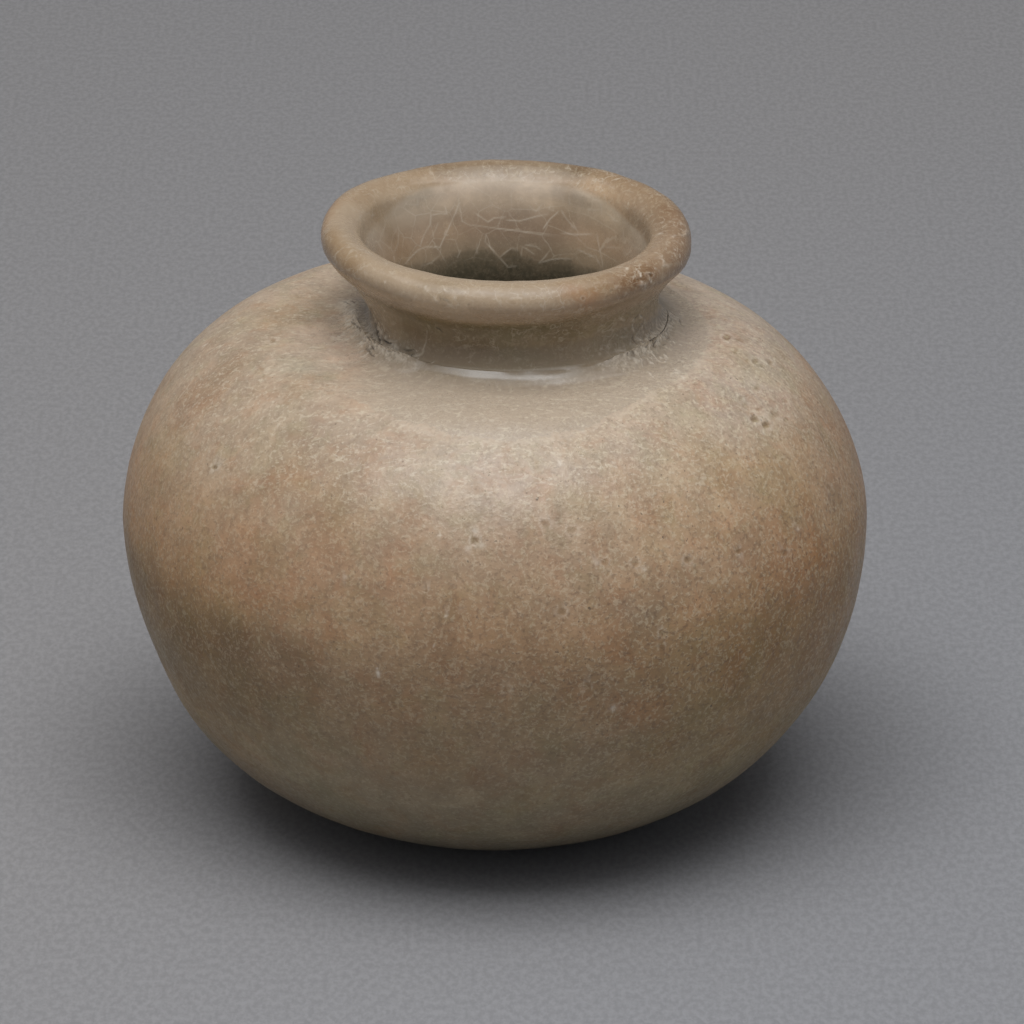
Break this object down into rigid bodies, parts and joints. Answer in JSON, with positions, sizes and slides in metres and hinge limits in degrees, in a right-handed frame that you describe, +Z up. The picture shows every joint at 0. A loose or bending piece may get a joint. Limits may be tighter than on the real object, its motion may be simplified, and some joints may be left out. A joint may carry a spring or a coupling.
{
  "type": "stoneware jarlet",
  "caption": "Squat round stoneware jarlet with a short flared neck, a rolled lip and a flat underside, hollow and open at the mouth, in worn khaki celadon glaze.",
  "frame": {"origin": "centre of the flat underside, where the belly's axis meets the surface that the jar stands on", "axes": "+Z up along the belly's axis, through the mouth; the neck stands slightly towards +X of that axis, and -Y faces the picture's camera"},
  "size_m": [0.0898, 0.0898, 0.0739],
  "materials": {
    "celadon_stoneware": "worn satin celadon glaze, khaki to tan, finely speckled, crackled and glossier on the neck, lip and throat"
  },
  "bodies": {
    "root": {"jarlet": "celadon_stoneware"}
  },
  "joints": []
}
